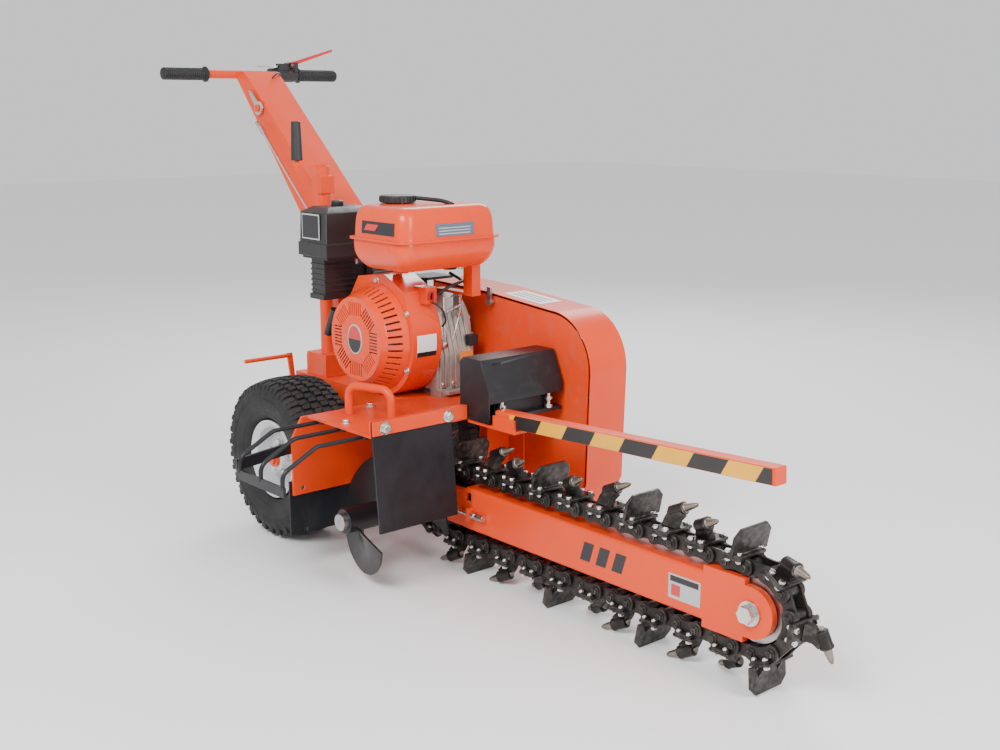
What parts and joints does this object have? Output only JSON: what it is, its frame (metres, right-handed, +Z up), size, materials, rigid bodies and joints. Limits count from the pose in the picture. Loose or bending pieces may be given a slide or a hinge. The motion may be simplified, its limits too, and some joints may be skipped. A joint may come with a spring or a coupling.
{
  "type": "walk-behind chain trencher",
  "caption": "Walk-behind chain trencher: petrol engine, belt drive, digging chain on a boom, spoil auger, two wheels, lifting jack and handlebar column.",
  "frame": {"origin": "centre of the overall box in plan, at the ground under the tyres and the chain", "axes": "+X forwards along the digging boom, +Y to the side of the belt guard, +Z up"},
  "size_m": [1.8928, 0.8305, 1.1229],
  "materials": {
    "aluminium": "cast aluminium",
    "belt_rubber": "fabric-faced belt",
    "black_paint": "satin black paint",
    "black_plastic": "textured black plastic",
    "carbide": "bright worn steel",
    "chain_steel": "oiled dark steel",
    "flap_rubber": "sheet rubber",
    "orange_paint": "gloss orange paint, worn",
    "orange_plastic": "orange plastic",
    "red_plastic": "red plastic",
    "rim_silver": "silver paint",
    "rubber": "ribbed rubber",
    "steel": "plain steel",
    "tyre": "turf tread rubber",
    "zinc": "zinc plate"
  },
  "bodies": {
    "frame": {"main_deck": "orange_paint", "frame_rails": "orange_paint", "rear_plate": "orange_paint", "rear_flap": "flap_rubber", "front_flap": "flap_rubber", "front_clamp_strip": "orange_paint", "lift_handle": "orange_paint", "auger_guard": "black_paint", "handle_column": "orange_paint", "handlebar": "orange_paint", "grip_left": "rubber", "grip_right": "rubber", "lever_perch": "black_plastic", "throttle_cable": "black_plastic", "clutch_cable": "zinc", "jack_tube": "orange_paint", "crankcase": "aluminium", "cylinder_head": "aluminium", "muffler": "black_paint", "air_cleaner_cover": "black_plastic", "air_cleaner_elbow": "black_plastic", "fan_shroud": "orange_paint", "recoil_cover": "orange_paint", "fuel_tank": "orange_paint", "belt_guard_back": "orange_paint", "belt_guard_cover": "orange_paint", "bearing_cover": "black_paint", "jackshaft_housing": "black_paint", "shaft_housing": "orange_paint", "drive_belts": "belt_rubber", "boom_beam": "orange_paint", "chain_links": "chain_steel", "chain_scrapers": "chain_steel", "tooth_holders": "chain_steel", "digging_teeth": "carbide", "drive_sprocket": "chain_steel", "hazard_bar": "orange_paint", "frame_bolts": "zinc"},
    "hand_lever": {"hand_lever": "red_plastic"},
    "throttle_lever": {"throttle_lever": "zinc"},
    "clutch_lever": {"clutch_lever": "zinc"},
    "idler_arm": {"idler_arm": "steel"},
    "jack_ram": {"jack_ram": "steel"},
    "jack_crank": {"jack_crank": "zinc", "jack_crank_grip": "black_plastic"},
    "foot_pedal": {"foot_pedal": "orange_paint"},
    "carriage": {"wheel_carriage": "orange_paint"},
    "wheel_left": {"rim_left": "rim_silver", "tyre_left": "tyre"},
    "wheel_right": {"rim_right": "rim_silver", "tyre_right": "tyre"},
    "crankshaft": {"crankshaft": "steel"},
    "fuel_cap": {"fuel_cap": "black_plastic"},
    "oil_dipstick": {"oil_dipstick": "orange_plastic"},
    "engine_switch": {"engine_switch": "red_plastic"},
    "jackshaft": {"jackshaft": "steel"},
    "digging_shaft": {"digging_shaft": "steel", "auger_flight": "black_paint"},
    "nose_roller": {"nose_roller": "steel"},
    "starter_grip": {"starter_grip": "black_plastic"}
  },
  "joints": [
    {"name": "carriage_swing", "type": "hinge", "parent": "frame", "child": "carriage", "pos_m": [-0.27489, 0.11518, 0.262], "axis": [0, 1, 0], "range_deg": [-4, 8]},
    {"name": "wheel_left_spin", "type": "hinge", "parent": "carriage", "child": "wheel_left", "pos_m": [-0.41489, 0.34218, 0.184], "axis": [0, 1, 0], "continuous": true},
    {"name": "wheel_right_spin", "type": "hinge", "parent": "carriage", "child": "wheel_right", "pos_m": [-0.41489, -0.11182, 0.184], "axis": [0, 1, 0], "continuous": true},
    {"name": "jack_ram_travel", "type": "slide", "parent": "frame", "child": "jack_ram", "axis": [0, 0, 1], "range_m": [-0.02, 0.04]},
    {"name": "jack_crank_turn", "type": "hinge", "parent": "frame", "child": "jack_crank", "pos_m": [-0.48489, 0.03518, 0.838], "axis": [0, 0, 1], "range_deg": [-1200, 2400]},
    {"name": "foot_pedal_press", "type": "hinge", "parent": "frame", "child": "foot_pedal", "pos_m": [-0.55089, -0.02482, 0.326], "axis": [0, 1, 0], "range_deg": [-20, 20]},
    {"name": "hand_lever_squeeze", "type": "hinge", "parent": "frame", "child": "hand_lever", "pos_m": [-0.92689, 0.22718, 1.08], "axis": [1, 0, 0], "range_deg": [-12, 0], "stiffness_Nm_per_rad": 2},
    {"name": "throttle_turn", "type": "hinge", "parent": "frame", "child": "throttle_lever", "pos_m": [-0.92489, 0.17868, 1.074], "axis": [0, 0, 1], "range_deg": [-30, 30]},
    {"name": "clutch_throw", "type": "hinge", "parent": "frame", "child": "clutch_lever", "pos_m": [-0.80489, 0.06018, 0.969], "axis": [0, 1, 0], "range_deg": [0, 60]},
    {"name": "idler_swing", "type": "hinge", "parent": "frame", "child": "idler_arm", "pos_m": [-0.08489, 0.22518, 0.548], "axis": [0, 1, 0], "range_deg": [0, 7]},
    {"name": "crankshaft_spin", "type": "hinge", "parent": "frame", "child": "crankshaft", "pos_m": [-0.22089, 0.11518, 0.477], "axis": [0, 1, 0], "continuous": true},
    {"name": "jackshaft_spin", "type": "hinge", "parent": "frame", "child": "jackshaft", "pos_m": [0.10511, 0.11518, 0.43], "axis": [0, 1, 0], "continuous": true},
    {"name": "digging_shaft_spin", "type": "hinge", "parent": "frame", "child": "digging_shaft", "pos_m": [-0.03489, 0.11518, 0.143], "axis": [0, 1, 0], "continuous": true},
    {"name": "nose_roller_spin", "type": "hinge", "parent": "frame", "child": "nose_roller", "pos_m": [0.81381, 0.04518, 0.143], "axis": [0, 1, 0], "continuous": true},
    {"name": "starter_pull", "type": "slide", "parent": "frame", "child": "starter_grip", "axis": [-1, 0, 0], "range_m": [0, 0.3]},
    {"name": "fuel_cap_turn", "type": "hinge", "parent": "frame", "child": "fuel_cap", "pos_m": [-0.16989, 0.01818, 0.772], "axis": [0, 0, 1], "range_deg": [0, 90]},
    {"name": "dipstick_pull", "type": "slide", "parent": "frame", "child": "oil_dipstick", "axis": [0.7498, 0, 0.6616], "range_m": [0, 0.06]},
    {"name": "engine_switch_turn", "type": "hinge", "parent": "frame", "child": "engine_switch", "pos_m": [-0.08989, 0.04918, 0.576], "axis": [1, 0, 0], "range_deg": [0, 60]}
  ],
  "couplings": [
    {"joint": "jack_ram_travel", "follows": "carriage_swing", "m_per_rad": 0.21},
    {"joint": "jack_crank_turn", "follows": "carriage_swing", "ratio": 260},
    {"joint": "idler_swing", "follows": "clutch_throw", "ratio": 0.1},
    {"joint": "jackshaft_spin", "follows": "crankshaft_spin", "ratio": 0.42},
    {"joint": "digging_shaft_spin", "follows": "crankshaft_spin", "ratio": 0.193}
  ]
}
